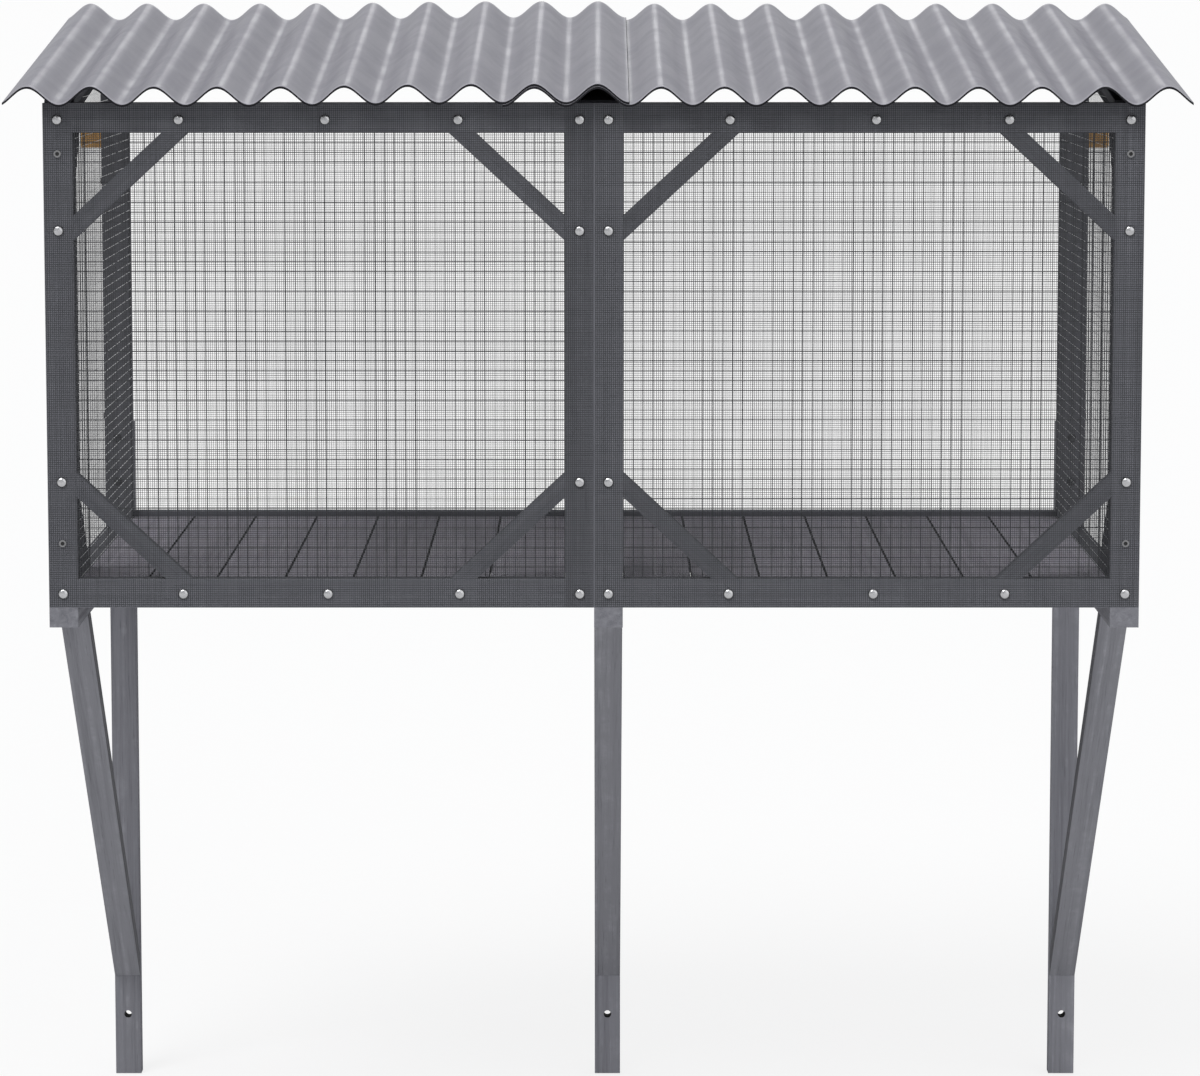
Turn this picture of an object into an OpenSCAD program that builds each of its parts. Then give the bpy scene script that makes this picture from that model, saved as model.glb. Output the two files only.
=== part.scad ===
// Window box catio: a mesh-fronted wooden box for a double window. Two modules stand side by side under
// a sloping corrugated roof, and three wooden brackets carry them on the wall below the window.
// The wall is the plane y = 0 and the front looks towards -Y. The origin is where the axis of the middle
// leg's wall bolt hole meets the wall. Heights of the box are counted from its underside, z_base.

/* [Box] */
// Width of one of the two modules
mod_w = 665; // [500:1:900]
// Gap between the two modules, which are pressed together
mod_gap = 0; // [0:0.1:3]
// Depth of the box from its front face to its back face
box_depth = 700; // [450:1:900]
// Height of the front panels
front_h = 613.5; // [450:0.5:900]
// Height of the side frames' bottom rails
side_rail_h = 22; // [16:1:60]
// Height of the back frames' bottom rails
back_sill_h = 40; // [32:1:60]

/* [Timber] */
// Face width of every lath
lath_w = 35; // [28:0.5:50]
// Thickness of every lath
lath_t = 22; // [16:0.5:32]

/* [Corner braces] */
// How far a brace reaches along the rail from the inner corner
brace_run_x = 141; // [80:1:200]
// How far a brace reaches along the post from the inner corner
brace_run_z = 131; // [80:1:160]
// Width of a brace across its length
brace_w = 22; // [14:0.5:30]
// Thickness of a brace from the front face inwards
brace_t = 16; // [8:0.5:17]
// Reach of the side frames' lower braces along the stud and the bottom rail
side_brace_low = 105; // [60:1:140]
// Reach of the side frames' upper braces along the stud and the rafter
side_brace_high = 69; // [60:1:140]

/* [Roof] */
// Slope of the roof, falling towards the front
roof_angle = 7.4; // [3:0.1:12]
// Distance from one wave of the sheet to the next
wave_pitch = 76; // [60:0.5:100]
// Depth of a wave
wave_h = 22; // [12:0.5:30]
// Thickness of the sheet, measured straight up
sheet_t = 3; // [1:0.1:4]
// Number of crests over the whole roof
crest_count = 19; // [13:2:25]
// How far a sheet runs on past its last crest at the roof's ends
sheet_end = 30; // [10:1:36]
// How far the middle of the roof lies right of the middle of the box
roof_shift = 4.5; // [0:0.5:20]
// Number of waves where the two sheets lie on each other
lap_waves = 2; // [1:1:3]
// Gap between a purlin's end and the side frame, where the side mesh passes
purlin_gap = 4; // [3:0.5:20]
// How far the eave stands out in front of the front panels
eave_out = 32; // [10:1:80]
// How far the back edge of the sheet stops short of the box's back face
sheet_back = 10; // [2:1:40]

/* [Floor] */
// Height of the floor's top above the underside of the box
floor_top = 33; // [32:0.5:40]
// Thickness of the planks, which lie on the joists
plank_t = 8.5; // [6:0.5:9.5]
// Width of a plank, of which the last one in a module takes what is left over
plank_w = 82; // [40:0.5:90]
// Gap between planks, and between a plank and the frame
plank_gap = 1.5; // [0.5:0.1:4]
// Number of joists under the planks of one module
joist_count = 3; // [2:1:5]

/* [Wall brackets] */
// How far a leg reaches below the box
leg_drop = 748.5; // [400:0.5:1000]
// Height of an arm, which lies under the box
arm_h = 24.5; // [16:0.5:40]
// How far a leg reaches up behind the box
leg_rise = 160; // [120:1:300]
// Height of the lower leg bolts above the box's base
leg_bolt_up = 83.5; // [60:0.5:90]
// Height of the wall bolt hole above the foot of the leg
leg_hole_up = 84; // [30:1:150]
// Radius of the wall bolt hole
leg_hole_r = 5; // [3:0.5:7]
// Distance from the front face to the strut's lower face, under the arm
strut_front = 108; // [40:1:250]
// Height of the strut's lower end above the wall bolt hole
strut_foot_up = 54; // [20:1:200]
// Width of a wall block
block_w = 62; // [45:1:90]
// How far a wall block stands out past the side of the box
block_out = 32; // [10:1:40]
// Height of a wall block
block_h = 56; // [40:1:120]
// Height of a wall block's underside above the underside of the box
block_z = 534; // [300:1:560]

/* [Wire mesh and insect screen] */
// Thickness of the mesh wires
mesh_wire = 1; // [0.6:0.1:2]
// Gaps across the mesh of one front panel, drawn coarser than the real 12 mm
mesh_cols = 11; // [4:1:16]
// Gaps up the mesh of one front panel
mesh_rows = 9; // [4:1:16]
// Gaps along the mesh of one side frame
side_cols = 8; // [4:1:14]
// Thickness of the screen threads
screen_wire = 0.6; // [0.3:0.1:1]
// Gaps across and up one insect screen, drawn coarser than the real 2.5 mm
screen_cells = 6; // [3:1:10]
// How far a screen stops short of the edges of the frame that it covers
screen_margin = 1; // [0.5:0.5:10]
// How far a side mesh stops short of the front panel and of the back frame
mesh_margin = 4; // [1:0.5:10]
// Clearance between pieces that lie on each other
fit_gap = 0.2; // [0.1:0.05:0.4]

/* [Fasteners] */
// Radius of a bolt's shank
bolt_r = 3; // [2:0.5:4]
// Radial clearance of a bolt in its bore
bolt_play = 0.3; // [0.1:0.05:0.5]
// Radius of a bolt's head
bolt_head_r = 6; // [5:0.25:8]
// Height of a bolt's head
bolt_head_h = 3.6; // [2:0.1:5]
// Width of a nut across its flats
nut_flats = 10; // [9:0.5:13]
// Thickness of a nut
nut_h = 5; // [3:0.5:7]
// Height of the lower bolt row above the underside of the box
low_row_z = 17; // [11:0.5:18]
// Distance of the upper bolt row below the top of the front panels
high_row_drop = 20; // [10:0.5:22]
// Distance of the outer rail bolts from the module's edge
rail_bolt_x = 164; // [120:1:220]
// How far the middle rail bolt lies right of the module's middle
mid_bolt_shift = 8; // [0:1:30]
// Distance of a post's brace bolts from the rails
post_bolt_z = 119; // [60:1:150]
// Radius of a screw's shank
screw_r = 2; // [1.5:0.25:2.5]
// Radius of a screw's head
screw_head_r = 4.4; // [3.5:0.1:5.5]
// Height of a screw's head
screw_head_h = 1.8; // [1:0.1:3]
// Radius of the socket in a screw's head
screw_socket_r = 2.4; // [1.5:0.1:3]
// Length of a screw's shank
screw_l = 18; // [10:1:20]
// Height of the corner posts' lower screws above the underside of the box
front_screw_low = 79; // [45:1:100]
// Distance of the corner posts' upper screws below the top of the front panels
front_screw_drop = 61; // [45:1:100]
// Height of the side frames' lower screws above the underside of the box
side_screw_low = 172; // [162:1:200]
// Distance of the side frames' upper screws below the top of the front panels
side_screw_drop = 123; // [100:1:142]
// Distance of an arm's screw from the front face
arm_screw_y = 20; // [10:1:60]

/* [Hidden] */
$fn = 32;

frame_paint = "#4b4e54";
bracket_paint = "#6d6f75";
bare_wood = "#a5662f";
sheet_grey = "#9a98a3";
wire_grey = "#8f9296";
thread_grey = "#26282b";
bolt_steel = "#c4c6c8";

// Depths, from the wall forwards
leg_front = -lath_t;
y_back = leg_front;
y_front = y_back - box_depth;
panel_back = y_front + lath_t;
stud_back = panel_back + lath_t;
rear_front = y_back - lath_t;
rear_stud_front = rear_front - lath_t;

// Widths: the middle leg stands under the right module's inner post
x_right = -lath_w / 2;
x_left = x_right - mod_gap - mod_w;
x_end = x_right + mod_w;
bay_w = mod_w - 2 * lath_w;
module_xs = [x_left, x_right];
leg_xs = [x_left, x_right, x_end - lath_w];
leg_mids = [for (x = leg_xs) x + lath_w / 2];

// Heights
z_foot = -leg_hole_up;
z_base = leg_drop - leg_hole_up;
z_arm = z_base - arm_h;
z_low = z_base + lath_w;
z_top = z_base + front_h;
z_high = z_top - lath_w;
z_floor = z_base + floor_top;
joist_h = floor_top - plank_t;
rise = tan(roof_angle);
rafter_h = lath_t / cos(roof_angle);
z_back_top = under_roof(rear_front);
brace_angle = atan2(brace_run_z, brace_run_x);

// Underside of the roof's valleys at a depth y: it touches the front panels' upper front edge
function under_roof(y) = z_top + (y - y_front) * rise;

// Bolts
bolt_xs = [
    lath_w / 2,
    rail_bolt_x,
    mod_w / 2 + mid_bolt_shift,
    mod_w - rail_bolt_x,
    mod_w - lath_w / 2
];
row_zs = [z_base + low_row_z, z_top - high_row_drop];
post_zs = [row_zs[0], z_low + post_bolt_z, z_high - post_bolt_z, row_zs[1]];
bore_r = bolt_r + bolt_play;
screen_t = screen_wire + fit_gap;
screw_bore_r = screw_r + fit_gap / 2;
front_screw_zs = [z_base + front_screw_low, z_top - front_screw_drop];
side_screw_zs = [z_base + side_screw_low, z_top - side_screw_drop];
side_screw_ys = [panel_back + lath_t / 2, rear_stud_front + lath_t / 2];
leg_bolt_zs = [z_base + leg_bolt_up, z_base + leg_rise - lath_w / 2];

// A straight piece between two opposite corners
module lath(x, y, z, w, d, h) {
    translate([x, y, z])
        cube([w, d, h]);
}

// An outline in Y and Z, drawn out along X
module side_cut(x, w) {
    translate([x, 0, 0])
        rotate([90, 0, 90])
            linear_extrude(w)
                children();
}

// An outline in X and Z, drawn out along Y
module front_cut(y, t) {
    translate([0, y + t, 0])
        rotate([90, 0, 0])
            linear_extrude(t)
                children();
}

// Holes along Y at every pair of the given places
module bores_y(xs, zs, y0, y1, r) {
    for (x = xs, z = zs)
        translate([x, y0 - 1, z])
            rotate([-90, 0, 0])
                cylinder(r = r, h = y1 - y0 + 2);
}

// Holes for the screws in the sides of the frames, from one side face inwards
module side_screw_bores(x, inward) {
    for (z = side_screw_zs, y = side_screw_ys)
        translate([x, y, z])
            rotate([0, inward * 90, 0])
                cylinder(r = screw_bore_r, h = screw_l + 2);
}

// ---- Front panels

module front_post(x, outer) {
    color(frame_paint)
        difference() {
            lath(x, y_front, z_base, lath_w, lath_t, front_h);
            bores_y([x + lath_w / 2], post_zs, y_front, panel_back, bore_r);
            if (outer)
                bores_y([x + lath_w / 2], front_screw_zs, y_front, y_front + screw_l, screw_bore_r);
        }
}

module front_rail(x, z, row) {
    color(frame_paint)
        difference() {
            lath(x + lath_w, y_front, z, bay_w, lath_t, lath_w);
            bores_y([for (i = [1:3]) x + bolt_xs[i]], [row_zs[row]], y_front, panel_back, bore_r);
        }
}

// One brace in the corner at (0, 0), reaching along +X and +Z
module brace_outline() {
    polygon([
        [0, brace_run_z - brace_w / cos(brace_angle)],
        [0, brace_run_z],
        [brace_run_x, 0],
        [brace_run_x - brace_w / sin(brace_angle), 0]
    ]);
}

module front_braces(x) {
    color(frame_paint)
        for (right = [0, 1], top = [0, 1])
            front_cut(y_front, brace_t)
                translate([x + lath_w + right * bay_w, top ? z_high : z_low])
                    mirror([right, 0])
                        mirror([0, top])
                            brace_outline();
}

// ---- Side frames and the open frame between the modules

module stud(x, y) {
    side_cut(x, lath_w)
        polygon([
            [y, z_base],
            [y + lath_t, z_base],
            [y + lath_t, under_roof(y + lath_t)],
            [y, under_roof(y)]
        ]);
}

module front_stud(x) {
    color(frame_paint)
        difference() {
            stud(x, panel_back);
            bores_y([x + lath_w / 2], post_zs, panel_back, stud_back, bore_r);
            outer_side_bores();
        }
}

module rear_stud(x) {
    color(frame_paint)
        difference() {
            stud(x, rear_stud_front);
            bores_y(leg_mids, leg_bolt_zs, rear_stud_front, rear_front, bore_r);
            outer_side_bores();
        }
}

module outer_side_bores() {
    side_screw_bores(x_left - 1, 1);
    side_screw_bores(x_end + 1, -1);
}

module rafter(x) {
    color(frame_paint)
        side_cut(x, lath_w)
            polygon([
                [stud_back, under_roof(stud_back) - rafter_h],
                [rear_stud_front, under_roof(rear_stud_front) - rafter_h],
                [rear_stud_front, under_roof(rear_stud_front)],
                [stud_back, under_roof(stud_back)]
            ]);
}

module side_sill(x, h) {
    color(frame_paint)
        lath(x, stud_back, z_base, lath_w, rear_stud_front - stud_back, h);
}

// Braces of a side frame, flush with the inner face, behind the front stud
module side_braces(x) {
    low = z_base + side_rail_h;
    high = under_roof(stud_back) - rafter_h;
    cut = brace_w * sqrt(2);
    color(frame_paint) {
        side_cut(x, brace_t)
            polygon([
                [stud_back, low + side_brace_low - cut],
                [stud_back + side_brace_low - cut, low],
                [stud_back + side_brace_low, low],
                [stud_back, low + side_brace_low]
            ]);
        side_cut(x, brace_t)
            polygon([
                [stud_back, high - side_brace_high],
                [stud_back + side_brace_high, high + rise * side_brace_high],
                [stud_back + side_brace_high - cut, high + rise * (side_brace_high - cut)],
                [stud_back, high - side_brace_high + cut]
            ]);
    }
}

module middle_pair() {
    for (x = [x_right - mod_gap - lath_w, x_right])
        translate([x - x_right, 0, 0])
            children();
}

// ---- Back frames, open towards the window

module rear_post(x) {
    color(frame_paint)
        difference() {
            lath(x, rear_front, z_base, lath_w, lath_t, z_back_top - z_base);
            bores_y(leg_mids, leg_bolt_zs, rear_front, y_back, bore_r);
        }
}

module rear_rail(x, z, h) {
    color(frame_paint)
        lath(x + lath_w, rear_front, z, bay_w, lath_t, h);
}

// ---- Roof

crest_mid = (x_left + x_end) / 2 + roof_shift;
first_crest = crest_mid - (crest_count - 1) / 2 * wave_pitch;
left_crests = (crest_count + 1) / 2;
wave_steps = 16;
eave_y = y_front - eave_out;
sheet_l = (y_back - sheet_back - eave_y) / cos(roof_angle);
lap_rise = sheet_t + fit_gap;

function wave_z(x) = wave_h / 2 * (1 + cos(360 * (x - first_crest) / wave_pitch));

// A sheet from x0 to x1, lying lift above the valleys' plane
module roof_sheet(x0, x1, lift) {
    steps = round((x1 - x0) / wave_pitch * wave_steps);
    xs = [for (i = [0:steps]) x0 + (x1 - x0) * i / steps];
    under = [for (x = xs) [x, wave_z(x)]];
    over = [for (i = [steps:-1:0]) [xs[i], wave_z(xs[i]) + sheet_t]];
    color(sheet_grey)
        translate([0, eave_y, under_roof(eave_y) + lift])
            rotate([roof_angle, 0, 0])
                translate([0, sheet_l, 0])
                    rotate([90, 0, 0])
                        linear_extrude(sheet_l)
                            polygon(concat(under, over));
}

module purlin(x) {
    color(frame_paint)
        difference() {
            lath(x + lath_w + purlin_gap, panel_back, z_high, bay_w - 2 * purlin_gap, lath_t, lath_w);
            bores_y([for (i = [1:3]) x + bolt_xs[i]], [row_zs[1]], panel_back, stud_back, bore_r);
        }
}

// ---- Floor

plank_step = plank_w + plank_gap;
plank_count = round((bay_w - plank_gap) / plank_step);
last_plank_w = bay_w - 2 * plank_gap - (plank_count - 1) * plank_step;

module floor_planks(x) {
    color(frame_paint)
        for (i = [0:plank_count - 1])
            lath(x + lath_w + plank_gap + i * plank_step, panel_back + fit_gap, z_floor - plank_t,
                i < plank_count - 1 ? plank_w : last_plank_w,
                rear_front - panel_back - 2 * fit_gap, plank_t);
}

module floor_joists(x) {
    span = rear_front - panel_back - lath_w;
    color(frame_paint)
        difference() {
            for (i = [0:joist_count - 1])
                lath(x + lath_w, panel_back + span * i / (joist_count - 1), z_base, bay_w, lath_w, joist_h);
            bores_y([for (i = [1:3]) x + bolt_xs[i]], [row_zs[0]], panel_back, panel_back + lath_w, bore_r);
        }
}

// ---- Wall brackets

module leg(x) {
    color(bracket_paint)
        difference() {
            lath(x, leg_front, z_foot, lath_w, lath_t, leg_drop + leg_rise);
            bores_y([x + lath_w / 2], [0], leg_front, 0, leg_hole_r);
            bores_y([x + lath_w / 2], leg_bolt_zs, leg_front, 0, bore_r);
        }
}

module arm(x) {
    color(bracket_paint)
        difference() {
            lath(x, y_front, z_arm, lath_w, box_depth, arm_h);
            for (side = [[x_left - 1, 1], [x_end + 1, -1]])
                translate([side[0], y_front + arm_screw_y, z_arm + arm_h / 2])
                    rotate([0, side[1] * 90, 0])
                        cylinder(r = screw_bore_r, h = screw_l + 2);
        }
}

// The strut stands between the underside of the arm and the front of the leg, cut to fit both
module strut(x) {
    head = y_front + strut_front;
    strut_angle = atan2(z_arm - strut_foot_up, leg_front - head);
    color(bracket_paint)
        side_cut(x, lath_w)
            polygon([
                [head, z_arm],
                [leg_front, strut_foot_up],
                [leg_front, strut_foot_up + lath_t / cos(strut_angle)],
                [head + lath_t / sin(strut_angle), z_arm]
            ]);
}

module wall_blocks() {
    color(bare_wood)
        for (x = [x_left - block_out, x_end + block_out - block_w])
            lath(x, leg_front, z_base + block_z, block_w, lath_t, block_h);
}

// ---- Wire mesh and insect screens

// Wires of the given width, cols by rows gaps between two corners, cut to the outline of its children
module net(x0, z0, x1, z1, cols, rows, wire) {
    intersection() {
        children();
        union() {
            for (i = [0:cols])
                translate([x0 + (x1 - x0 - wire) * i / cols, z0])
                    square([wire, z1 - z0]);
            for (j = [0:rows])
                translate([x0, z0 + (z1 - z0 - wire) * j / rows])
                    square([x1 - x0, wire]);
        }
    }
}

module front_mesh(x) {
    x0 = x + lath_w + fit_gap;
    x1 = x + mod_w - lath_w - fit_gap;
    z0 = z_low + fit_gap;
    z1 = z_high - fit_gap;
    color(wire_grey)
        front_cut(y_front + brace_t + fit_gap, mesh_wire)
            net(x0, z0, x1, z1, mesh_cols, mesh_rows, mesh_wire)
                translate([x0, z0])
                    square([x1 - x0, z1 - z0]);
}

// Outline of a side frame in Y and Z, drawn in by the given margins
module side_outline(y_in, z_low_edge, top_in) {
    polygon([
        [panel_back + y_in, z_low_edge],
        [rear_front - y_in, z_low_edge],
        [rear_front - y_in, under_roof(rear_front - y_in) - top_in],
        [panel_back + y_in, under_roof(panel_back + y_in) - top_in]
    ]);
}

module side_mesh(x) {
    low = z_floor + fit_gap;
    color(wire_grey)
        side_cut(x, mesh_wire)
            net(panel_back + mesh_margin, low, rear_front - mesh_margin, z_back_top,
                side_cols, mesh_rows, mesh_wire)
                side_outline(mesh_margin, low, rafter_h / 2);
}

module front_screen(x) {
    x0 = x + screen_margin;
    x1 = x + mod_w - screen_margin;
    z0 = z_base + screen_margin;
    z1 = z_top - screen_margin;
    color(thread_grey)
        difference() {
            front_cut(y_front - screen_t, screen_wire)
                net(x0, z0, x1, z1, screen_cells, screen_cells, screen_wire)
                    translate([x0, z0])
                        square([x1 - x0, z1 - z0]);
            bores_y([for (b = bolt_xs) x + b], row_zs, y_front - screen_t, y_front, bore_r);
            bores_y([x + bolt_xs[0], x + bolt_xs[4]], [post_zs[1], post_zs[2]],
                y_front - screen_t, y_front, bore_r);
        }
}

// ---- Fasteners

// A domed bolt along Y, with its head's flat side at y and its shank l long towards +Y
module bolt(x, y, z, l) {
    dome = [for (a = [0:15:90]) [bolt_head_r * cos(a), bolt_head_h * (0.3 + 0.7 * sin(a))]];
    translate([x, y, z])
        rotate([90, 0, 0])
            rotate_extrude()
                polygon(concat([[0, -l], [bolt_r, -l], [bolt_r, 0], [bolt_head_r, 0]], dome));
}

// Lengths of a blind bolt in a post's end, a bolt with a nut behind two laths, and one through a joist
end_bolt_l = 2 * lath_t - 2 + screen_t;
post_bolt_l = 2 * lath_t + nut_h + screen_t;
joist_bolt_l = lath_t + lath_w + nut_h + screen_t;

module front_bolts() {
    color(bolt_steel)
        for (x = module_xs) {
            for (b = [bolt_xs[0], bolt_xs[4]], i = [0:3])
                bolt(x + b, y_front - screen_t, post_zs[i], i % 3 == 0 ? end_bolt_l : post_bolt_l);
            for (i = [1:3]) {
                bolt(x + bolt_xs[i], y_front - screen_t, row_zs[1], post_bolt_l);
                bolt(x + bolt_xs[i], y_front - screen_t, row_zs[0], joist_bolt_l);
            }
        }
}

// A hexagonal nut along Y, threaded onto its bolt
module nut(x, y, z) {
    translate([x, y, z])
        rotate([-90, 0, 0])
            difference() {
                cylinder(d = nut_flats / cos(30), h = nut_h, $fn = 6);
                translate([0, 0, -1])
                    cylinder(r = bolt_r + 0.05, h = nut_h + 2);
            }
}

module front_nuts() {
    color(bolt_steel)
        for (x = module_xs) {
            for (b = [bolt_xs[0], bolt_xs[4]], i = [1:2])
                nut(x + b, stud_back, post_zs[i]);
            for (i = [1:3]) {
                nut(x + bolt_xs[i], stud_back, row_zs[1]);
                nut(x + bolt_xs[i], panel_back + lath_w, row_zs[0]);
            }
        }
}

// Bolts through the studs and back posts into the legs, ending inside the legs
module leg_bolts() {
    color(bolt_steel)
        for (x = leg_xs, z = leg_bolt_zs)
            bolt(x + lath_w / 2, rear_stud_front, z, 3 * lath_t - 2);
}

// A round-headed screw with a socket, along +Z from the head's flat side down
module screw() {
    difference() {
        union() {
            translate([0, 0, -screw_l])
                cylinder(r = screw_r, h = screw_l);
            cylinder(r = screw_head_r, h = screw_head_h);
        }
        translate([0, 0, screw_head_h / 4])
            cylinder(r = screw_socket_r, h = screw_head_h);
    }
}

module side_screws() {
    color(bolt_steel)
        for (side = [[x_left, -1], [x_end, 1]]) {
            for (z = side_screw_zs, y = side_screw_ys)
                translate([side[0], y, z])
                    rotate([0, side[1] * 90, 0])
                        screw();
            translate([side[0], y_front + arm_screw_y, z_arm + arm_h / 2])
                rotate([0, side[1] * 90, 0])
                    screw();
        }
}

module front_screws() {
    color(bolt_steel)
        for (x = [x_left, x_end - lath_w], z = front_screw_zs)
            translate([x + lath_w / 2, y_front - screen_t, z])
                rotate([90, 0, 0])
                    screw();
}

front_post(x_left, true);  // front_left_outer_post
front_post(x_left + mod_w - lath_w, false);  // front_left_inner_post
front_rail(x_left, z_high, 1);  // front_left_top_rail
front_rail(x_left, z_base, 0);  // front_left_bottom_rail
front_braces(x_left);  // front_left_braces
front_post(x_right, false);  // front_right_inner_post
front_post(x_end - lath_w, true);  // front_right_outer_post
front_rail(x_right, z_high, 1);  // front_right_top_rail
front_rail(x_right, z_base, 0);  // front_right_bottom_rail
front_braces(x_right);  // front_right_braces
front_stud(x_left);  // left_side_front_post
rear_stud(x_left);  // left_side_rear_post
rafter(x_left);  // left_side_rafter
side_sill(x_left, side_rail_h);  // left_side_bottom_rail
side_braces(x_left + lath_w - brace_t);  // left_side_braces
front_stud(x_end - lath_w);  // right_side_front_post
rear_stud(x_end - lath_w);  // right_side_rear_post
rafter(x_end - lath_w);  // right_side_rafter
side_sill(x_end - lath_w, side_rail_h);  // right_side_bottom_rail
side_braces(x_end - lath_w);  // right_side_braces
middle_pair() front_stud(x_right);  // middle_front_studs
middle_pair() rear_stud(x_right);  // middle_rear_studs
middle_pair() rafter(x_right);  // middle_rafters
middle_pair() side_sill(x_right, floor_top);  // middle_sills
rear_post(x_left);  // rear_left_outer_post
rear_post(x_left + mod_w - lath_w);  // rear_left_inner_post
rear_rail(x_left, z_back_top - lath_w, lath_w);  // rear_left_top_rail
rear_rail(x_left, z_base, back_sill_h);  // rear_left_bottom_rail
rear_post(x_right);  // rear_right_inner_post
rear_post(x_end - lath_w);  // rear_right_outer_post
rear_rail(x_right, z_back_top - lath_w, lath_w);  // rear_right_top_rail
rear_rail(x_right, z_base, back_sill_h);  // rear_right_bottom_rail
roof_sheet(first_crest - sheet_end, first_crest + (left_crests - 0.5) * wave_pitch, fit_gap + lap_rise);  // roof_sheet_left
roof_sheet(first_crest + (left_crests - lap_waves - 0.5) * wave_pitch,  // roof_sheet_right
        first_crest + (crest_count - 1) * wave_pitch + sheet_end, fit_gap);
for (x = module_xs) purlin(x);  // front_purlins
floor_planks(x_left);  // left_floor_planks
floor_planks(x_right);  // right_floor_planks
floor_joists(x_left);  // left_floor_joists
floor_joists(x_right);  // right_floor_joists
leg(leg_xs[0]);  // left_leg
arm(leg_xs[0]);  // left_arm
strut(leg_xs[0]);  // left_strut
leg(leg_xs[1]);  // middle_leg
arm(leg_xs[1]);  // middle_arm
strut(leg_xs[1]);  // middle_strut
leg(leg_xs[2]);  // right_leg
arm(leg_xs[2]);  // right_arm
strut(leg_xs[2]);  // right_strut
wall_blocks();
front_mesh(x_left);  // left_front_mesh
front_mesh(x_right);  // right_front_mesh
side_mesh(x_left + lath_w + fit_gap);  // left_side_mesh
side_mesh(x_end - lath_w - fit_gap - mesh_wire);  // right_side_mesh
front_screen(x_left);  // left_front_screen
front_screen(x_right);  // right_front_screen
front_bolts();
front_nuts();
leg_bolts();
side_screws();
front_screws();
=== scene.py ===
"""Looks of a window box catio: stained laths, wavy roof sheets, welded mesh and insect screen."""
import math
import random

import bpy
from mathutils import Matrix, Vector


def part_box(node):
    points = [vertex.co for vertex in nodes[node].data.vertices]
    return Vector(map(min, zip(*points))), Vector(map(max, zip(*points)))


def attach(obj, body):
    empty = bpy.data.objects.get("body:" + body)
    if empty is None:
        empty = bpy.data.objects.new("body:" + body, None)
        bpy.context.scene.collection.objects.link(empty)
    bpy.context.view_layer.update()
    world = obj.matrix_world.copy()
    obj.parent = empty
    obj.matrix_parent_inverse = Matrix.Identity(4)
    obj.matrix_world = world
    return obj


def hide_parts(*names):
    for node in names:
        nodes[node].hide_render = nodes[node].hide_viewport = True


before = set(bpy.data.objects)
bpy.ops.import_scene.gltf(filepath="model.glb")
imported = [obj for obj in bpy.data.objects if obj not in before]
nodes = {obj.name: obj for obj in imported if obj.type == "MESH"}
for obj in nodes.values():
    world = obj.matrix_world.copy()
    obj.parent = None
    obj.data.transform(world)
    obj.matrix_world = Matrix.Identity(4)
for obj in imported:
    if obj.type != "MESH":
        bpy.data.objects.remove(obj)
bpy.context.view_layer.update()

MM = 0.001

# The photograph's camera: picture width and focal length in pixels, place, tilt down in radians,
# sensor width in millimetres, and how far it sees in metres
IMAGE_W = 1200
FOCAL_PX = 4650.5
CAMERA_AT = (-10.3 * MM, -6347.6 * MM, 1433.6 * MM)
CAMERA_PITCH = 0.1209
SENSOR_W = 36
CAMERA_REACH = 2000

# Values of the construction that the looks share, in metres
BOX_BASE_Z = 664.5 * MM
FRONT_H = 613.5 * MM
LATH_W = 35 * MM
MODULE_W = 665 * MM
MODULE_XS = {"left": -682.5 * MM, "right": -17.5 * MM}
FRONT_Y = -722 * MM
BACK_Y = -22 * MM
PLANKS = 7
PLANK_W = 82 * MM
PLANK_PITCH = 83.5 * MM
PLANK_GAP = 1.5 * MM
ROOF_ANGLE = math.radians(7.4)
# How far a front brace runs across and up, and a strut forwards and up
BRACE_RUN = (141 * MM, 131 * MM)
STRUT_RUN = (592 * MM, 586 * MM)


# ---------------------------------------------------------------- shader maths

class Field:
    """One value, colour or vector inside a finish. Arithmetic on it adds Math nodes."""

    def __init__(self, finish, socket):
        self.finish = finish
        self.socket = socket

    def maths(self, operation, first, second=0.0):
        return self.finish.node("ShaderNodeMath", {"operation": operation}, {0: first, 1: second})

    def __add__(self, other):
        return self.maths("ADD", self, other)

    def __sub__(self, other):
        return self.maths("SUBTRACT", self, other)

    def __rsub__(self, other):
        return self.maths("SUBTRACT", other, self)

    def __mul__(self, other):
        return self.maths("MULTIPLY", self, other)

    def __truediv__(self, other):
        return self.maths("DIVIDE", self, other)

    def __rtruediv__(self, other):
        return self.maths("DIVIDE", other, self)

    def __pow__(self, other):
        return self.maths("POWER", self, other)

    def __rpow__(self, other):
        return self.maths("POWER", other, self)

    def __abs__(self):
        return self.maths("ABSOLUTE", self)

    def __gt__(self, other):
        return self.maths("GREATER_THAN", self, other)

    def __lt__(self, other):
        return self.maths("LESS_THAN", self, other)

    def floor(self):
        return self.maths("FLOOR", self)

    def at_most(self, limit):
        return self.maths("MINIMUM", self, limit)

    __radd__ = __add__
    __rmul__ = __mul__


# Inputs of a surface whose names don't follow from the keyword
SOCKETS = {"specular_IOR_level": "Specular IOR Level"}


class NodeTree:
    """The nodes of a material or of the light from all around."""

    def __init__(self, owner):
        owner.use_nodes = True
        self.tree = owner.node_tree
        self.tree.nodes.clear()

    def node(self, kind, settings=None, sockets=None, out=0):
        """A new node with its settings and inputs, given as one of its outputs if it has any."""
        made = self.tree.nodes.new(kind)
        for key, value in (settings or {}).items():
            setattr(made, key, value)
        for key, value in (sockets or {}).items():
            if isinstance(value, Field):
                self.tree.links.new(value.socket, made.inputs[key])
            else:
                made.inputs[key].default_value = value
        return Field(self, made.outputs[out]) if made.outputs else None


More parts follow.
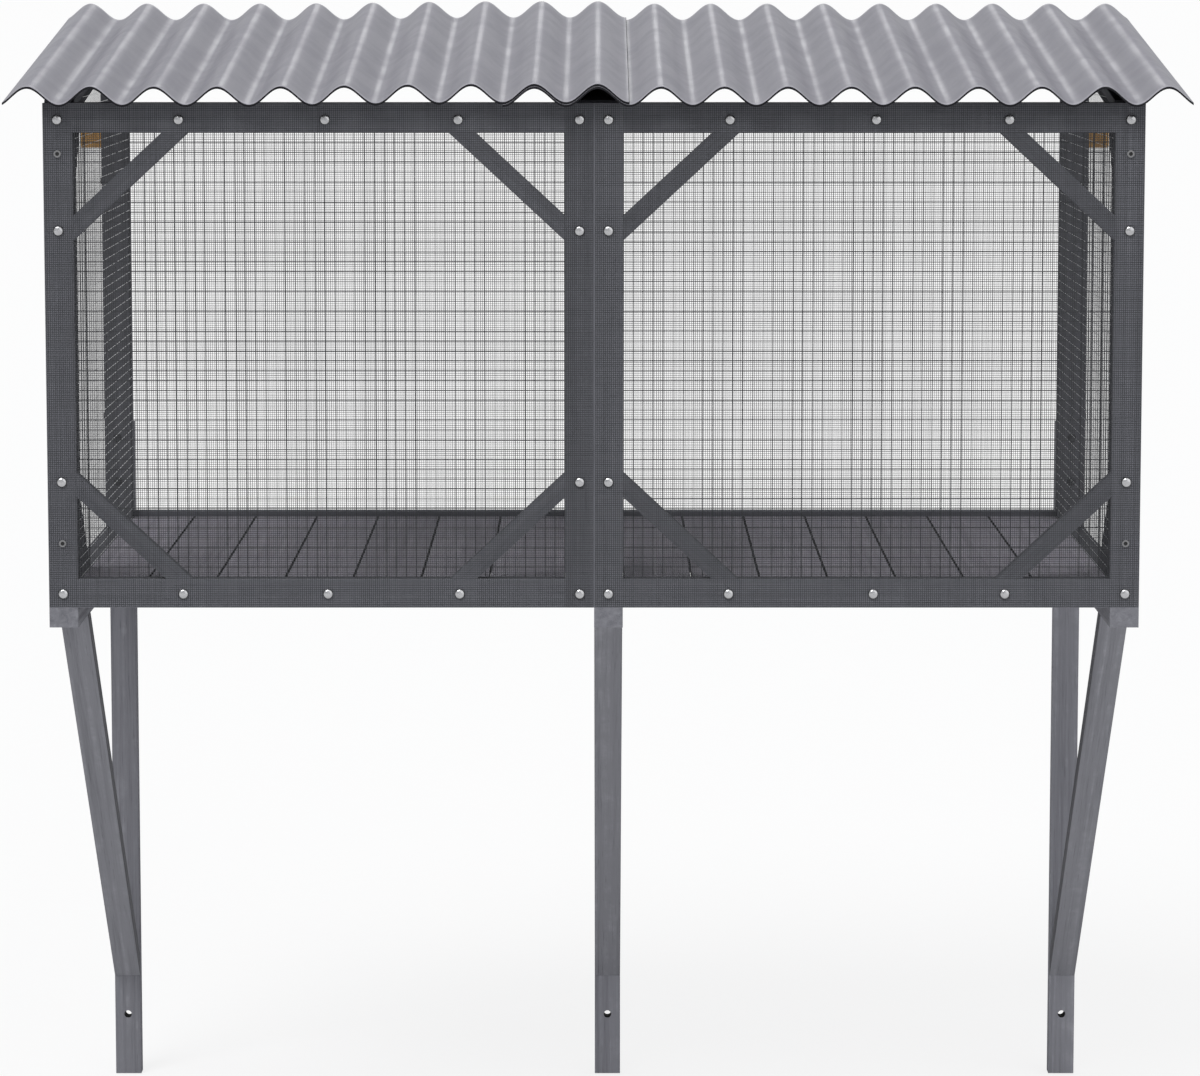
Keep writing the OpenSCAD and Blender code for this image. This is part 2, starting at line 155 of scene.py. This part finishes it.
class Finish(NodeTree):
    """A material in the making."""

    def __init__(self, name):
        self.material = bpy.data.materials.new(name)
        super().__init__(self.material)

    def place(self):
        """The point's place in the shared frame."""
        return self.node("ShaderNodeTexCoord", out="Object")

    def part(self, vector, axis):
        return self.node("ShaderNodeSeparateXYZ", None, {0: vector}, out=axis)

    def facing(self, axis):
        """How squarely the surface looks along an axis, from 0 to 1."""
        return abs(self.part(self.node("ShaderNodeNewGeometry", out="Normal"), axis))

    def board(self):
        """A number from 0 to 1 that differs from piece to piece."""
        return self.node("ShaderNodeObjectInfo", out="Random")

    def along(self, place, turn, lengthwise, across, shift=None):
        """The place in a turned frame, drawn out along its Z. lengthwise and across are the sizes
        of a cell in metres, and shift moves the cells."""
        if shift is not None:
            push = self.node("ShaderNodeCombineXYZ", sockets={0: shift, 1: shift, 2: shift})
            place = self.node("ShaderNodeVectorMath", {"operation": "ADD"}, {0: place, 1: push})
        return self.node("ShaderNodeMapping", {"vector_type": "TEXTURE"},
                         {"Vector": place, "Rotation": turn, "Scale": (across, across, lengthwise)})

    def noise(self, place, scale=1.0, detail=4.0, rough=0.55, distortion=0.0):
        return self.node("ShaderNodeTexNoise", None,
                         {"Vector": place, "Scale": scale, "Detail": detail, "Roughness": rough,
                          "Distortion": distortion})

    def spread(self, value, low, high, to_low=0.0, to_high=1.0):
        """The range from low to high drawn out to another range, with soft ends."""
        return self.node("ShaderNodeMapRange", {"interpolation_type": "SMOOTHSTEP"},
                         {"Value": value, "From Min": low, "From Max": high,
                          "To Min": to_low, "To Max": to_high})

    def mix(self, factor, first, second):
        """From the first colour to the second as the factor goes from 0 to 1."""
        colours = [(*c, 1) if isinstance(c, tuple) else c for c in (first, second)]
        return self.node("ShaderNodeMix", {"data_type": "RGBA"},
                         {"Factor": factor, "A": colours[0], "B": colours[1]}, out="Result")

    def dim(self, colour, factor):
        """The colour times a number that varies over the surface."""
        return self.node("ShaderNodeVectorMath", {"operation": "SCALE"},
                         {0: colour, "Scale": factor})

    def bump(self, height, strength, distance):
        return self.node("ShaderNodeBump", None,
                         {"Height": height, "Strength": strength, "Distance": distance})

    def surface(self, **sockets):
        """The finished material of a Principled surface. A keyword names an input."""
        return self.output(self.node("ShaderNodeBsdfPrincipled", None,
                                     {SOCKETS.get(key, key.replace("_", " ").title()): value
                                      for key, value in sockets.items()}))

    def output(self, shader):
        self.node("ShaderNodeOutputMaterial", None, {"Surface": shader})
        return self.material


# ---------------------------------------------------------------- finishes

# Turns that lay a finish's Z along the laths
ALONG_X = (0, math.pi / 2, 0)
ALONG_Y = (math.pi / 2, 0, 0)
ALONG_Z = (0, 0, 0)
ALONG_RAFTER = (ROOF_ANGLE - math.pi / 2, 0, 0)
ALONG_STRUT = (math.atan2(*STRUT_RUN), 0, 0)
ALONG_BRACE = (0, -math.atan2(*BRACE_RUN), 0)


def stain(deep, main, worn):
    """The tones of a stain: in the grain's valleys, over most of it, and where it has worn."""
    return {"deep": deep, "main": main, "worn": worn}


# Painted shade: a darker copy of the front's stain for the pieces inside the box, where shade falls
SHADED_INSIDE_STAIN = stain((0.098, 0.099, 0.112), (0.125, 0.126, 0.142), (0.158, 0.160, 0.180))
FRONT_STAIN = stain((0.112, 0.114, 0.127), (0.141, 0.143, 0.160), (0.184, 0.187, 0.208))
FLOOR_STAIN = stain((0.250, 0.238, 0.272), (0.304, 0.289, 0.329), (0.376, 0.358, 0.404))
GREY_STAIN = stain((0.110, 0.111, 0.124), (0.168, 0.169, 0.187), (0.250, 0.252, 0.274))
# Painted light: a lighter copy of the grey stain for the struts
LIT_STRUT_STAIN = stain((0.135, 0.136, 0.150), (0.200, 0.201, 0.220), (0.290, 0.292, 0.316))
BARE_WOOD = stain((0.340, 0.150, 0.024), (0.660, 0.360, 0.095), (0.760, 0.500, 0.190))
# Painted light and shade: how much lighter or darker each leg and strut is painted than its stain,
# as in the photograph
LIGHT_AND_SHADE_LEVEL = {"left_leg": 0.97, "middle_leg": 1.25, "right_leg": 1.35,
         "left_strut": 1.06, "middle_strut": 0.98, "right_strut": 1.06}
# How much one piece differs from the next in tone, on the box and on the brackets
BOX_VARY = 0.20
BRACKET_VARY = 0.05

# Lengths and widths of the cells of the grain, and how far it moves from piece to piece, in metres
STREAK_CELL = (0.42, 0.0085)
FIBRE_CELL = (0.055, 0.0011)
BAND_CELL = (0.9, 0.03)
GRAIN_SHIFT = 7.0

# How far the painted shade of a seam reaches onto a plank, and the radius within which a bolt hole
# has painted shade
SEAM_EDGE = 0.8 * MM
BORE_EDGE = 5.15 * MM
SEAM_PAINTED_SHADE = (0.003, 0.003, 0.004)
BORE_PAINTED_SHADE = (0.006, 0.006, 0.007)
# What is left of the tone on the sides of the struts, where shade is painted on
SIDE_PAINTED_SHADE = 0.42


def stained_wood(name, tones, turn, fold=None, planks=None, bore_x=None, shaded_sides=False,
                 vary=BOX_VARY):
    """Sawn softwood under a stain. fold mirrors a module's braces onto one. planks is (first edge,
    pitch, width, number), with painted shade in the seams. bore_x is where a bolt hole goes through
    a foot, with painted shade inside it. The flag for the sides paints shade on faces that look
    along X."""
    wood = Finish(name)
    place = wood.place()
    chance = wood.board()
    if fold:
        x, y, z = (wood.part(place, axis) for axis in range(3))
        place = wood.node("ShaderNodeCombineXYZ", None,
                          {0: abs(x - fold[0]), 1: y, 2: abs(z - fold[1])})
    if planks:
        first, pitch, width, number = planks
        run = (wood.part(place, 0) - first) / pitch
        plank = run.floor().at_most(number - 1.0)
        within = run - plank
        # Painted shade: a near-black band at both edges of each plank stands in for the shade in
        # the gaps between planks
        seam = ((within < SEAM_EDGE / pitch)
                + (within > (width - SEAM_EDGE) / pitch) * (plank < number - 1.5))
        chance = wood.node("ShaderNodeTexWhiteNoise", {"noise_dimensions": "1D"}, {"W": plank})
    shift = chance * GRAIN_SHIFT
    streaks = wood.noise(wood.along(place, turn, *STREAK_CELL, shift),
                         detail=5, rough=0.6, distortion=0.35)
    fibres = wood.noise(wood.along(place, turn, *FIBRE_CELL, shift), detail=3, rough=0.7)
    bands = wood.noise(wood.along(place, turn, *BAND_CELL, shift),
                       detail=2, rough=0.5, distortion=0.8)
    wear = wood.noise(place, scale=38, detail=5, rough=0.65)
    grain = streaks * 0.5 + fibres * 0.25 + bands * 0.25
    tone = wood.mix(wood.spread(grain, 0.30, 0.54), tones["deep"], tones["main"])
    tone = wood.mix(wood.spread(streaks * 0.6 + wear * 0.4, 0.50, 0.72) * 0.75, tone, tones["worn"])
    pores = wood.spread(fibres, 0.28, 0.40, 0.72, 1.0)
    tone = wood.dim(tone, pores * (chance * vary + (1.0 - vary / 2)))
    if planks:
        tone = wood.mix(seam, tone, SEAM_PAINTED_SHADE)
    if bore_x is not None:
        # Painted shade inside the bolt hole through the foot: dark within the hole's radius
        off = (wood.part(place, 0) - bore_x) ** 2.0 + wood.part(place, 2) ** 2.0
        tone = wood.mix(off < BORE_EDGE ** 2, tone, BORE_PAINTED_SHADE)
    # Painted shade on the faces that look along X, the struts' sides
    if shaded_sides:
        tone = wood.dim(tone, wood.spread(wood.facing(0), 0.5, 0.9, 1.0, SIDE_PAINTED_SHADE))
    height = grain * 0.6 + wood.spread(fibres, 0.3, 0.6) * 0.4
    return wood.surface(base_color=tone, roughness=wood.spread(grain, 0.35, 0.65, 0.78, 0.60),
                        specular_IOR_level=0.04, normal=wood.bump(height, 0.35, 0.0007))


def roof_skin():
    """Satin coating with faint rolling marks along the waves and a little dust in them."""
    skin = Finish("roof coating")
    place = skin.place()
    marks = skin.noise(skin.along(place, ALONG_RAFTER, 0.8, 0.006), detail=4, rough=0.6)
    dust = skin.noise(place, scale=16, detail=6, rough=0.62)
    orange_peel = skin.noise(place, scale=420, detail=2)
    tone = skin.mix(marks * 0.6 + dust * 0.4, (0.178, 0.174, 0.204), (0.226, 0.220, 0.256))
    return skin.surface(base_color=tone, roughness=skin.spread(dust, 0.35, 0.7, 0.30, 0.40),
                        normal=skin.bump(marks * 0.3 + orange_peel * 0.7, 0.12, 0.0004))


def roof_shade_lining():
    """Near-black painted shade on the lower face and cut edges of the sheet."""
    lining = Finish("roof lining")
    dust = lining.noise(lining.place(), scale=30, detail=5)
    return lining.surface(base_color=lining.mix(dust, (0.006, 0.006, 0.008), (0.015, 0.015, 0.018)),
                          roughness=lining.spread(dust, 0.3, 0.7, 0.6, 0.8),
                          specular_IOR_level=0.15, normal=lining.bump(dust, 0.1, 0.0005))


def roof_rim_highlight():
    """A painted highlight: the light line along the rounded cut edge and the strip behind it."""
    rim = Finish("roof rim")
    dust = rim.noise(rim.place(), scale=60, detail=4)
    return rim.surface(base_color=rim.mix(dust, (0.29, 0.285, 0.32), (0.36, 0.355, 0.39)),
                       roughness=0.4)


def galvanised(name, dark, light, rough):
    """Metal on wire, nut or bolt: mottled, with dull and bright patches."""
    zinc = Finish(name)
    place = zinc.place()
    spangle = zinc.noise(place, scale=260, detail=3)
    dull = zinc.noise(place, scale=40, detail=5, rough=0.65)
    return zinc.surface(base_color=zinc.mix(spangle * 0.5 + dull * 0.5, dark, light), metallic=0.85,
                        roughness=zinc.spread(dull, 0.35, 0.65, rough, rough + 0.2),
                        normal=zinc.bump(spangle, 0.15, 0.0002))


def bolt_steel():
    """Bright plated domes with painted shade, a dark ring round the rim where they meet the wood.
    """
    steel = Finish("bolt steel")
    place = steel.place()
    dull = steel.noise(place, scale=150, detail=4, rough=0.65)
    bright = steel.mix(dull, (0.34, 0.34, 0.35), (0.62, 0.62, 0.63))
    # Painted shade: the rim of each dome, facing less along Y, is painted near black
    tone = steel.mix(steel.spread(steel.facing(1), 0.60, 0.92), (0.03, 0.03, 0.03), bright)
    return steel.surface(base_color=tone, metallic=0.8,
                         roughness=steel.spread(dull, 0.35, 0.65, 0.12, 0.26),
                         normal=steel.bump(dull, 0.2, 0.0003))


def screw_zinc(name, axis, middle, reach):
    """Zinc with painted shade in the socket and under the head: dark everywhere nearer to the
    middle than the reach, along the axis."""
    zinc = Finish(name)
    place = zinc.place()
    dull = zinc.noise(place, scale=150, detail=4, rough=0.65)
    # Painted shade where the socket and the underside of the head lie
    low = abs(zinc.part(place, axis) - middle) < reach
    bright = zinc.mix(dull, (0.15, 0.15, 0.155), (0.26, 0.26, 0.265))
    return zinc.surface(base_color=zinc.mix(low, bright, (0.03, 0.03, 0.03)), metallic=0.6,
                        roughness=zinc.spread(dull, 0.35, 0.65, 0.34, 0.54))


def screen_thread():
    """Coated glass thread, slightly uneven in tone."""
    thread = Finish("screen thread")
    tone = thread.noise(thread.place(), scale=90, detail=4)
    return thread.surface(base_color=thread.mix(tone, (0.045, 0.046, 0.050), (0.075, 0.077, 0.082)),
                          roughness=thread.spread(tone, 0.3, 0.7, 0.55, 0.75),
                          specular_IOR_level=0.05)


# Where the sockets of the screws end: how far in front of Y = 0, and from the box's middle
FRONT_SOCKET_Y = 723.9 * MM
BOX_MIDDLE_X = -17.5 * MM
SIDE_SOCKET_REACH = 666.1 * MM

BOLT_STEEL = bolt_steel()
BLACK_STEEL = galvanised("blackened steel", (0.012, 0.012, 0.013), (0.030, 0.030, 0.032), 0.60)
NUT_STEEL = galvanised("nut steel", (0.46, 0.46, 0.47), (0.68, 0.68, 0.69), 0.28)
FRONT_WIRE = galvanised("front mesh wire", (0.050, 0.052, 0.056), (0.100, 0.102, 0.108), 0.50)
# A shaded and a lit copy of one side wire: painted shade on the uprights, painted highlight on the
# lying wires
SHADED_SIDE_UPRIGHT = galvanised("side mesh uprights", (0.05, 0.051, 0.054), (0.11, 0.112, 0.117), 0.6)
LIT_SIDE_WIRE = galvanised("side mesh wire", (0.66, 0.665, 0.67), (0.94, 0.945, 0.95), 0.34)
FRONT_SCREW = screw_zinc("front screw steel", 1, 0.0, FRONT_SOCKET_Y)
SIDE_SCREW = screw_zinc("side screw steel", 0, BOX_MIDDLE_X, SIDE_SOCKET_REACH)
THREAD = screen_thread()


# ---------------------------------------------------------------- pieces that keep their shape

# Widths of the rounded edges
LATH_EDGE = 0.9 * MM
BRACE_EDGE = 0.6 * MM
PLANK_EDGE = 1.2 * MM
# Corners closer than this are one, and faces that meet at more than this angle meet in an edge
SAME_CORNER = 0.01 * MM
SHARP = math.radians(50)


def dress(name, finish, edge=0.0):
    """Gives a node its finish and, where an edge width is given, rounded edges."""
    piece = nodes[name]
    piece.data.materials.clear()
    piece.data.materials.append(finish)
    if edge:
        joined = piece.modifiers.new("join faces", "WELD")
        joined.merge_threshold = SAME_CORNER
        rounded = piece.modifiers.new("soft edges", "BEVEL")
        rounded.width = edge
        rounded.segments = 2
        rounded.limit_method = "ANGLE"
        rounded.angle_limit = SHARP
        if "custom_normal" in piece.data.attributes:
            piece.data.attributes.remove(piece.data.attributes["custom_normal"])
        piece.data.shade_flat()


def levelled(tones, level):
    """A stain whose tones are all lighter or darker by one factor."""
    return {tone: tuple(part * level for part in tones[tone]) for tone in tones}


def dress_laths():
    # Pieces inside the box take the darker copy of the stain, as painted shade
    dark = {turn: stained_wood(f"dark stained wood {word}", SHADED_INSIDE_STAIN, turn)
            for turn, word in ((ALONG_X, "across"), (ALONG_Y, "front to back"),
                               (ALONG_Z, "upright"), (ALONG_RAFTER, "on rafters"))}
    front = {turn: stained_wood(f"dark stained wood in front {word}", FRONT_STAIN, turn)
             for turn, word in ((ALONG_X, "across"), (ALONG_Z, "upright"))}
    arm_wood = stained_wood("grey stained wood on arms", GREY_STAIN, ALONG_Y, vary=BRACKET_VARY)
    for name in sorted(nodes):
        kind = name.split("_")[-1]
        by_place = front if name.startswith("front") else dark
        if kind == "leg":
            low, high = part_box(name)
            tones = levelled(GREY_STAIN, LIGHT_AND_SHADE_LEVEL[name])
            dress(name, stained_wood(f"grey stained wood {name}", tones, ALONG_Z,
                                     bore_x=(low.x + high.x) / 2, vary=BRACKET_VARY))
        elif kind == "arm":
            dress(name, arm_wood)
        elif kind == "strut":
            tones = levelled(LIT_STRUT_STAIN, LIGHT_AND_SHADE_LEVEL[name])
            dress(name, stained_wood(f"grey stained wood {name}", tones, ALONG_STRUT,
                                     shaded_sides=True, vary=BRACKET_VARY), LATH_EDGE)
        elif kind in ("post", "studs"):
            dress(name, by_place[ALONG_Z])
        elif kind in ("rafter", "rafters"):
            dress(name, dark[ALONG_RAFTER], LATH_EDGE)
        elif kind == "sills" or name.endswith("side_bottom_rail"):
            dress(name, dark[ALONG_Y], LATH_EDGE)
        elif kind in ("rail", "joists", "purlins"):
            dress(name, by_place[ALONG_X], LATH_EDGE if name.startswith("rear") else 0.0)
    for side, x in MODULE_XS.items():
        braces = stained_wood(f"dark stained wood {side} braces", FRONT_STAIN, ALONG_BRACE,
                              fold=(x + MODULE_W / 2, BOX_BASE_Z + FRONT_H / 2))
        dress(f"front_{side}_braces", braces, BRACE_EDGE)
        dress(f"{side}_side_braces", dark[ALONG_Y], BRACE_EDGE)
        planks = stained_wood(f"floor stain {side}", FLOOR_STAIN, ALONG_Y,
                              planks=(x + LATH_W + PLANK_GAP, PLANK_PITCH, PLANK_W, PLANKS))
        dress(f"{side}_floor_planks", planks, PLANK_EDGE)
    dress("wall_blocks", stained_wood("bare brown wood", BARE_WOOD, ALONG_Z), LATH_EDGE)


def dress_fasteners():
    dress("front_bolts", BOLT_STEEL)
    dress("leg_bolts", BLACK_STEEL)
    dress("front_nuts", NUT_STEEL)
    dress("side_screws", SIDE_SCREW)
    dress("front_screws", FRONT_SCREW)


# ---------------------------------------------------------------- nets made here, wire by wire

def new_piece(name, corners, faces, finishes, slot, *replaced, smooth=False):
    mesh = bpy.data.meshes.new(name)
    mesh.from_pydata(corners, [], faces)
    mesh.update()
    for finish in finishes:
        mesh.materials.append(finish)
    piece = bpy.data.objects.new(name, mesh)
    bpy.context.scene.collection.objects.link(piece)
    if smooth:
        mesh.shade_smooth()
    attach(piece, "root")
    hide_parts(*replaced)
    return piece


def rods(lines, sides):
    """Straight closed rods, given as (start, end, radius), as corners and faces."""
    corners, faces = [], []
    for start, end, radius in lines:
        start, end = Vector(start), Vector(end)
        run = (end - start).normalized()
        first = run.orthogonal().normalized()
        second = run.cross(first)
        base = len(corners)
        ring = [first * math.cos(a) * radius + second * math.sin(a) * radius
                for a in (2 * math.pi * (i + 0.5) / sides for i in range(sides))]
        corners += [start + r for r in ring] + [end + r for r in ring]
        for i in range(sides):
            j = (i + 1) % sides
            faces.append((base + i, base + j, base + sides + j, base + sides + i))
        faces.append(tuple(base + i for i in reversed(range(sides))))
        faces.append(tuple(base + sides + i for i in range(sides)))
    return corners, faces


def evenly(low, high, pitch, wander, chance):
    """Places about a pitch apart between two ends, each off by a little."""
    count = round((high - low) / pitch)
    step = (high - low) / count
    return [low + step * i + (chance.uniform(-wander, wander) if 0 < i < count else 0)
            for i in range(count + 1)]


# Front nets: thickness, its unevenness as a share, pitch across and up, wander, sides of a wire
NETS = {"mesh": (0.91 * MM, 0.08, 12.0 * MM, 12.0 * MM, 0.3 * MM, 6),
        "screen": (0.550 * MM, 0.22, 2.48 * MM, 2.65 * MM, 0.13 * MM, 4)}
# Side nets: thickness, pitch, wander, sides of a wire
SIDE_NET = (0.66 * MM, 12.0 * MM, 0.3 * MM, 6)
# How many radii the upright and the lying wires are off the middle of a net
LAYER = 0.4


def front_net(side, kind):
    """The wire mesh or the insect screen of one front panel, in place of the frame's plain net."""
    node = f"{side}_front_{kind}"
    low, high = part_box(node)
    chance = random.Random(node)
    wire, uneven, pitch_x, pitch_z, wander, sides = NETS[kind]
    radius = wire / 2
    left, right, bottom, top = low.x + radius, high.x - radius, low.z + radius, high.z - radius
    mid = (low.y + high.y) / 2
    near, far = mid - radius * LAYER, mid + radius * LAYER

    def thickness():
        return radius * (1 + chance.uniform(-uneven, uneven))

    uprights = [((x, near, low.z), (x + chance.uniform(-wander, wander), near, high.z), thickness())
                for x in evenly(left, right, pitch_x, wander, chance)]
    across = [((low.x, far, z), (high.x, far, z + chance.uniform(-wander, wander)), thickness())
              for z in evenly(bottom, top, pitch_z, wander, chance)]
    corners, faces = rods(uprights + across, sides)
    finish, slot = (FRONT_WIRE, "wire") if kind == "mesh" else (THREAD, "screen")
    new_piece(f"{side}_front_{kind}_wires", corners, faces, [finish], slot, node)


def side_net(side):
    """The wire mesh of a side frame, cut along the slope of the roof."""
    node = f"{side}_side_mesh"
    low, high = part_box(node)
    chance = random.Random(node)
    wire, pitch, wander, sides = SIDE_NET
    radius = wire / 2
    rise = math.tan(ROOF_ANGLE)
    mid = (low.x + high.x) / 2
    at_uprights, at_lines = mid - radius * LAYER, mid + radius * LAYER
    uprights = [((at_uprights, y, low.z), (at_uprights, y, high.z - (high.y - y) * rise), radius)
                for y in evenly(low.y + radius, high.y - radius, pitch, wander, chance)]
    lines = []
    for z in evenly(low.z + radius, high.z - radius, pitch, wander, chance):
        start = max(low.y, high.y - (high.z - z) / rise)
        if high.y - start > pitch:
            lines.append(((at_lines, start, z), (at_lines, high.y, z), radius))
    corners, faces = rods(uprights + lines, sides)
    piece = new_piece(f"{side}_side_mesh_wires", corners, faces, [SHADED_SIDE_UPRIGHT, LIT_SIDE_WIRE],
                      "wire", node)
    # The lying wires take the painted highlight, the uprights the painted shade
    for face in piece.data.polygons[len(uprights) * (sides + 2):]:
        face.material_index = 1


# ---------------------------------------------------------------- roof sheets made here

WAVE_PITCH = 76 * MM
WAVE_H = 22 * MM
SHEET_T = 3 * MM
# One crest is 4.5 mm right of the box's middle, and the first one is nine waves to the left of it
FIRST_CREST = (-17.5 + 4.5 - 9 * 76) * MM
# How far the sheets reach past the outermost crests and over the front, and end short of the back
SIDE_REACH = 30 * MM
EAVE_REACH = 32 * MM
BACK_SHORT = 10 * MM
EAVE_Y = FRONT_Y - EAVE_REACH
RIDGE_Y = BACK_Y - BACK_SHORT
# Where the right sheet starts under the left one
LAP_X = FIRST_CREST + 7.5 * WAVE_PITCH
# Left edge, right edge and lift of each sheet
SHEETS = {
    "left": (FIRST_CREST - SIDE_REACH, FIRST_CREST + 9.5 * WAVE_PITCH, 3.4 * MM),
    "right": (LAP_X, FIRST_CREST + 18 * WAVE_PITCH + SIDE_REACH, 0.2 * MM),
}
# From the lap leftwards the left sheet sinks over this run to the height of the right one
SINK, SINK_RUN = 3.2 * MM, 330 * MM
# Widths of the painted highlight along eave and ridge and of the painted shadow where the left
# sheet ends, and the rounding of the cut edges
RIM = 8 * MM
LAP_LINE = 0.6 * MM
CUT_ROUND = 0.15 * MM
# Steps in a wave and along the slope
WAVE_STEPS = 28
SLOPE_STEPS = 24

ROOF_FINISHES = [roof_skin(), roof_shade_lining(), roof_rim_highlight()]
# The lining is painted shade, the rim a painted highlight
SKIN, SHADE_LINING, PAINTED_HIGHLIGHT_RIM = range(3)


def sag(side, x):
    """How far the left sheet has sunk away from the lap, where it lies on the right one."""
    away = min(1.0, max(0.0, (LAP_X - x) / SINK_RUN)) if side == "left" else 0.0
    return SINK * away * away * (3 - 2 * away)


def roof_sheet(side):
    """A corrugated sheet with slightly rounded cut edges, lying where the frame's sheet lies."""
    x0, x1, lift = SHEETS[side]
    steps = round((x1 - x0) / WAVE_PITCH * WAVE_STEPS)
    length = (RIDGE_Y - EAVE_Y) / math.cos(ROOF_ANGLE)
    eave_z = BOX_BASE_Z + FRONT_H + (EAVE_Y - FRONT_Y) * math.tan(ROOF_ANGLE) + lift
    slope_y, slope_z = math.cos(ROOF_ANGLE), math.sin(ROOF_ANGLE)
    # Rings around the sheet's section, each (distance along the slope, inset of the section)
    rings = [(0.0, CUT_ROUND), (CUT_ROUND, 0.0), (RIM, 0.0)]
    rings += [(length * i / SLOPE_STEPS, 0.0) for i in range(1, SLOPE_STEPS)]
    rings += [(length - d, inset) for d, inset in reversed(rings[:3])]
    xs = [x0 + (x1 - x0) * i / steps for i in range(steps + 1)]
    if side == "left":
        xs.insert(-1, x1 - LAP_LINE)
        steps += 1
    crest = [WAVE_H / 2 * (1 + math.cos(2 * math.pi * (x - FIRST_CREST) / WAVE_PITCH))
             - sag(side, x) for x in xs]
    corners, faces, looks = [], [], []
    for distance, inset in rings:
        for x, rise in zip(xs, crest):
            for height in (rise + inset, rise + SHEET_T - inset):
                corners.append((x, EAVE_Y + distance * slope_y - height * slope_z,
                                eave_z + distance * slope_z + height * slope_y))
    # Each ring holds, from left to right, a lower and an upper corner
    wave = 2 * (steps + 1)
    for ring in range(len(rings) - 1):
        a, b = ring * wave, (ring + 1) * wave
        # Painted highlight: the rounded cut and the strip along eave and ridge take the light rim
        # finish
        top = PAINTED_HIGHLIGHT_RIM if ring in (0, 1, len(rings) - 3, len(rings) - 2) else SKIN
        for i in range(steps):
            k = 2 * i
            faces.append((a + k, b + k, b + k + 2, a + k + 2))
            faces.append((a + k + 1, a + k + 3, b + k + 3, b + k + 1))
            # Painted shadow: the last step of the left sheet's top, where it ends over the right
            # one, takes the dark lining
            looks += [SHADE_LINING, SHADE_LINING if side == "left" and i == steps - 1 else top]
        faces.append((a, a + 1, b + 1, b))
        faces.append((a + wave - 2, b + wave - 2, b + wave - 1, a + wave - 1))
        looks += [SHADE_LINING, SHADE_LINING]
    last = (len(rings) - 1) * wave
    for i in range(steps):
        k = 2 * i
        faces.append((k, k + 2, k + 3, k + 1))
        faces.append((last + k, last + k + 1, last + k + 3, last + k + 2))
        looks += [SHADE_LINING, SHADE_LINING]
    piece = new_piece(f"roof_sheet_{side}_formed", corners, faces, ROOF_FINISHES, "roof_sheet",
                      f"roof_sheet_{side}", smooth=True)
    for face, look in zip(piece.data.polygons, looks):
        face.material_index = look
    piece.data.set_sharp_from_angle(angle=SHARP)


dress_laths()
dress_fasteners()
for one_side in MODULE_XS:
    for net_kind in NETS:
        front_net(one_side, net_kind)
    side_net(one_side)
    roof_sheet(one_side)


# ---------------------------------------------------------------- floor, light and camera

# Half the floor's side in metres, its height just under the feet, and how white the camera sees it
FLOOR_HALF = 400
FLOOR_Z = -85 * MM
FLOOR_WHITE = 0.8
# Colour and strength of the light from all around
SKY = (0.97, 0.98, 1.0, 1)
SKY_LIGHT = 0.62
WHITE = (1, 1, 1, 1)
# Name, turn in degrees, strength and width in degrees of each lamp. The last lights only gloss
LAMPS = (("key", (40, 0, -26), 1.65, 30), ("fill", (62, 0, 42), 0.6, 60),
         ("roof gloss", (-74, 0, 0), 0.030, 8))


def pale_floor():
    ground = Finish("pale floor")
    seen = ground.node("ShaderNodeLightPath", out="Is Camera Ray")
    grain = ground.noise(ground.place(), scale=30, detail=4)
    lit = ground.node("ShaderNodeBsdfDiffuse", None,
                      {"Color": ground.mix(grain, (0.80, 0.80, 0.80), (0.83, 0.83, 0.83))})
    white = ground.node("ShaderNodeEmission", None, {"Color": WHITE, "Strength": 1.0})
    blend = ground.node("ShaderNodeMixShader", None, {0: seen * FLOOR_WHITE, 1: lit, 2: white})
    mesh = bpy.data.meshes.new("floor")
    mesh.from_pydata([(x * FLOOR_HALF, y * FLOOR_HALF, FLOOR_Z)
                      for x, y in ((-1, -1), (1, -1), (1, 1), (-1, 1))], [], [(0, 1, 2, 3)])
    mesh.materials.append(ground.output(blend))
    floor = bpy.data.objects.new("floor", mesh)
    bpy.context.scene.collection.objects.link(floor)


def studio():
    world = bpy.data.worlds.new("studio")
    bpy.context.scene.world = world
    sky = NodeTree(world)
    seen = sky.node("ShaderNodeLightPath", out="Is Camera Ray")
    soft = sky.node("ShaderNodeBackground", None, {"Color": SKY, "Strength": SKY_LIGHT})
    white = sky.node("ShaderNodeBackground", None, {"Color": WHITE, "Strength": 1.0})
    blend = sky.node("ShaderNodeMixShader", None, {0: seen, 1: soft, 2: white})
    sky.node("ShaderNodeOutputWorld", None, {"Surface": blend})
    for name, turn, strength, width in LAMPS:
        lamp = bpy.data.lights.new(name, "SUN")
        lamp.energy = strength
        lamp.angle = math.radians(width)
        holder = bpy.data.objects.new(name, lamp)
        holder.rotation_euler = tuple(math.radians(a) for a in turn)
        holder.visible_diffuse = name != "roof gloss"
        bpy.context.scene.collection.objects.link(holder)


def camera():
    lens = bpy.data.cameras.new("camera")
    lens.sensor_width = SENSOR_W
    lens.lens = FOCAL_PX / IMAGE_W * SENSOR_W
    lens.clip_end = CAMERA_REACH
    holder = bpy.data.objects.new("camera", lens)
    holder.location = CAMERA_AT
    holder.rotation_euler = (math.pi / 2 - CAMERA_PITCH, 0, 0)
    bpy.context.scene.collection.objects.link(holder)
    bpy.context.scene.camera = holder


pale_floor()
studio()
camera()
bpy.context.scene.view_settings.view_transform = "Standard"
